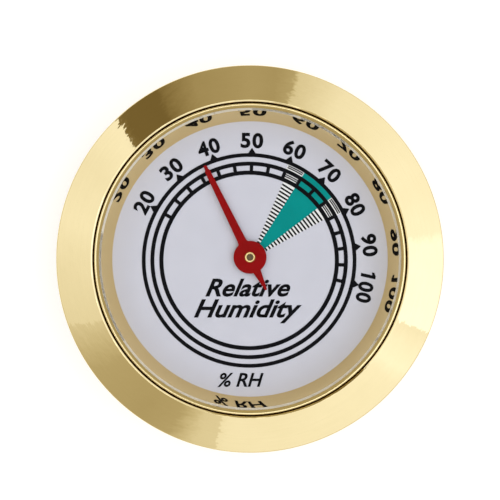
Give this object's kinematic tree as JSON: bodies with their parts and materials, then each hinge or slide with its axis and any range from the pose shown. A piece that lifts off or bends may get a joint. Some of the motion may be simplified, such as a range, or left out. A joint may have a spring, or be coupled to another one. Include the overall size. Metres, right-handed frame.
{
  "type": "dial hygrometer",
  "caption": "Round dial hygrometer with a polished conical bezel, flat lens, mirrored reflector wall, red pointer and a coil movement in a drawn push-in case.",
  "frame": {"origin": "centre of the flat back of the case, on the surface it rests on", "axes": "+Z out of the dial towards the viewer, +Y towards 12 o'clock on the dial, +X towards 3 o'clock"},
  "size_m": [0.045, 0.045, 0.0102],
  "materials": {
    "bezel_brass": "mirror polished and lacquered",
    "case_brass": "drawn, satin",
    "reflector_brass": "polished",
    "movement_brass": "fine brushed",
    "movement_steel": "turned",
    "lens_glass": "clear, flat",
    "gasket_pale": "translucent, soft",
    "dial_white": "satin silver white enamel with printed scale",
    "spacer_black": "moulded",
    "pointer_red": "satin enamel",
    "coil_strip": "laminated strip, satin"
  },
  "bodies": {
    "case": {"case_cup": "case_brass", "bezel": "bezel_brass", "retaining_ring": "bezel_brass", "lens": "lens_glass", "lens_gasket": "gasket_pale", "reflector_ring": "reflector_brass", "dial_plate": "dial_white", "dial_feet": "movement_brass", "spacer_ring": "spacer_black", "front_plate": "movement_brass", "plate_screws": "movement_steel", "pillars": "movement_brass", "bridge": "movement_brass", "bridge_screws": "movement_steel", "front_bush": "movement_brass"},
    "calibrator": {"calibration_screw": "movement_brass", "friction_washer": "movement_steel", "rear_bush": "movement_brass", "calibration_lever": "movement_steel", "coil_stud": "movement_brass", "sensing_coil": "coil_strip"},
    "needle": {"coil_collet": "movement_brass", "pointer_arbor": "movement_steel", "pointer_collet": "movement_brass", "pointer": "pointer_red"}
  },
  "joints": [
    {"name": "calibration_adjust", "type": "hinge", "parent": "case", "child": "calibrator", "pos_m": [0, 0.0002, 0.0013], "axis": [0, 0, 1], "range_deg": [-20, 20]},
    {"name": "pointer_turn", "type": "hinge", "parent": "calibrator", "child": "needle", "pos_m": [0, 0.0002, 0.0057], "axis": [0, 0, 1], "range_deg": [-131, 76], "stiffness_Nm_per_rad": 0.000001, "deforming": ["sensing_coil"]}
  ]
}
